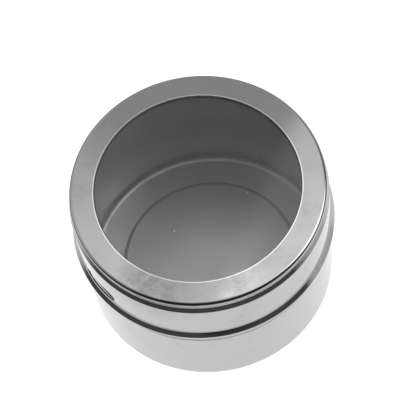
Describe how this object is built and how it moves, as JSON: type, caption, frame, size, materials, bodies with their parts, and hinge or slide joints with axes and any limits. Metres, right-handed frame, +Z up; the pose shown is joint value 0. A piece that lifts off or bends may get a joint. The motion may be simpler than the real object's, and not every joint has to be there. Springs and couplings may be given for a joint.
{
  "type": "spice tin",
  "caption": "Small round steel spice tin with a clear-window lid that turns to pour or sift from its side, lifts off to fill, and has a magnet in its base.",
  "frame": {"origin": "centre of the face that the tin stands on", "axes": "+Z up along the tin's axis; the pour slot faces 209.7 degrees from +X, and the front of the tin faces -Y"},
  "size_m": [0.0662, 0.0662, 0.0435],
  "materials": {
    "can_steel": "bright drawn stainless sheet, fine vertical draw lines outside, dull inside",
    "lid_steel": "polished stainless sheet with faint smudges and hairline scratches",
    "ring_steel": "plain stamped steel",
    "clear_pane": "clear glossy plastic with fine specks",
    "magnet": "matt dark bonded-ferrite sheet",
    "tape": "pale double-sided foam film"
  },
  "bodies": {
    "can": {"can_body": "can_steel", "base_magnet": "magnet", "magnet_tape": "tape"},
    "window_unit": {"window_pane": "clear_pane", "window_retainer": "ring_steel"},
    "lid": {"lid_shell": "lid_steel"}
  },
  "joints": [
    {"name": "lid_lift", "type": "slide", "parent": "can", "child": "window_unit", "axis": [0, 0, 1], "range_m": [0, 0.02]},
    {"name": "lid_turn", "type": "hinge", "parent": "window_unit", "child": "lid", "pos_m": [0, 0, 0.0416], "axis": [0, 0, 1], "continuous": true}
  ]
}
